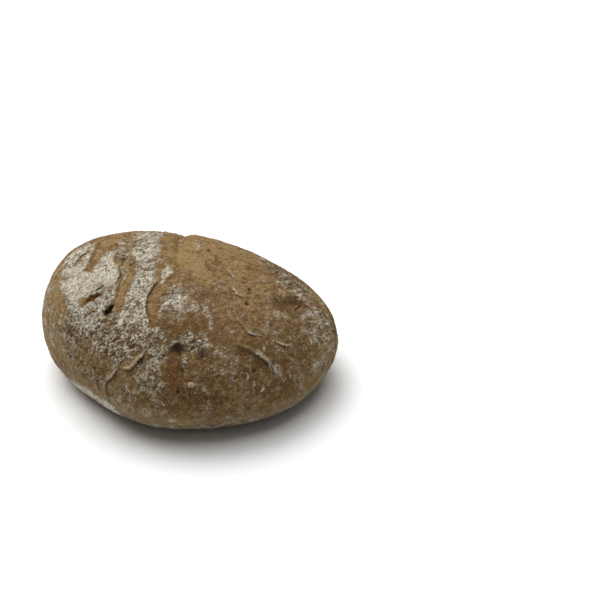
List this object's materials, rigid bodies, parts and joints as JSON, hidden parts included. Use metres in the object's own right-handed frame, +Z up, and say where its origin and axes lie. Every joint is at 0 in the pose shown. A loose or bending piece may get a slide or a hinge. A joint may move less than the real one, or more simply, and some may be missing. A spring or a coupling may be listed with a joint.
{
  "type": "bread loaf",
  "caption": "Round country loaf with a domed, floured crust, torn and curled in places, and a flat base to rest on.",
  "frame": {"origin": "centre of the loaf's plan box, on the plane of its flat base", "axes": "+X along the loaf's longer plan axis, away from the higher end, and +Z up"},
  "size_m": [0.2006, 0.1656, 0.0753],
  "materials": {
    "crust": "dry baked crust, matt to faintly satin, brown to tan, with dusted white flour"
  },
  "bodies": {
    "root": {"loaf": "crust"}
  },
  "joints": []
}
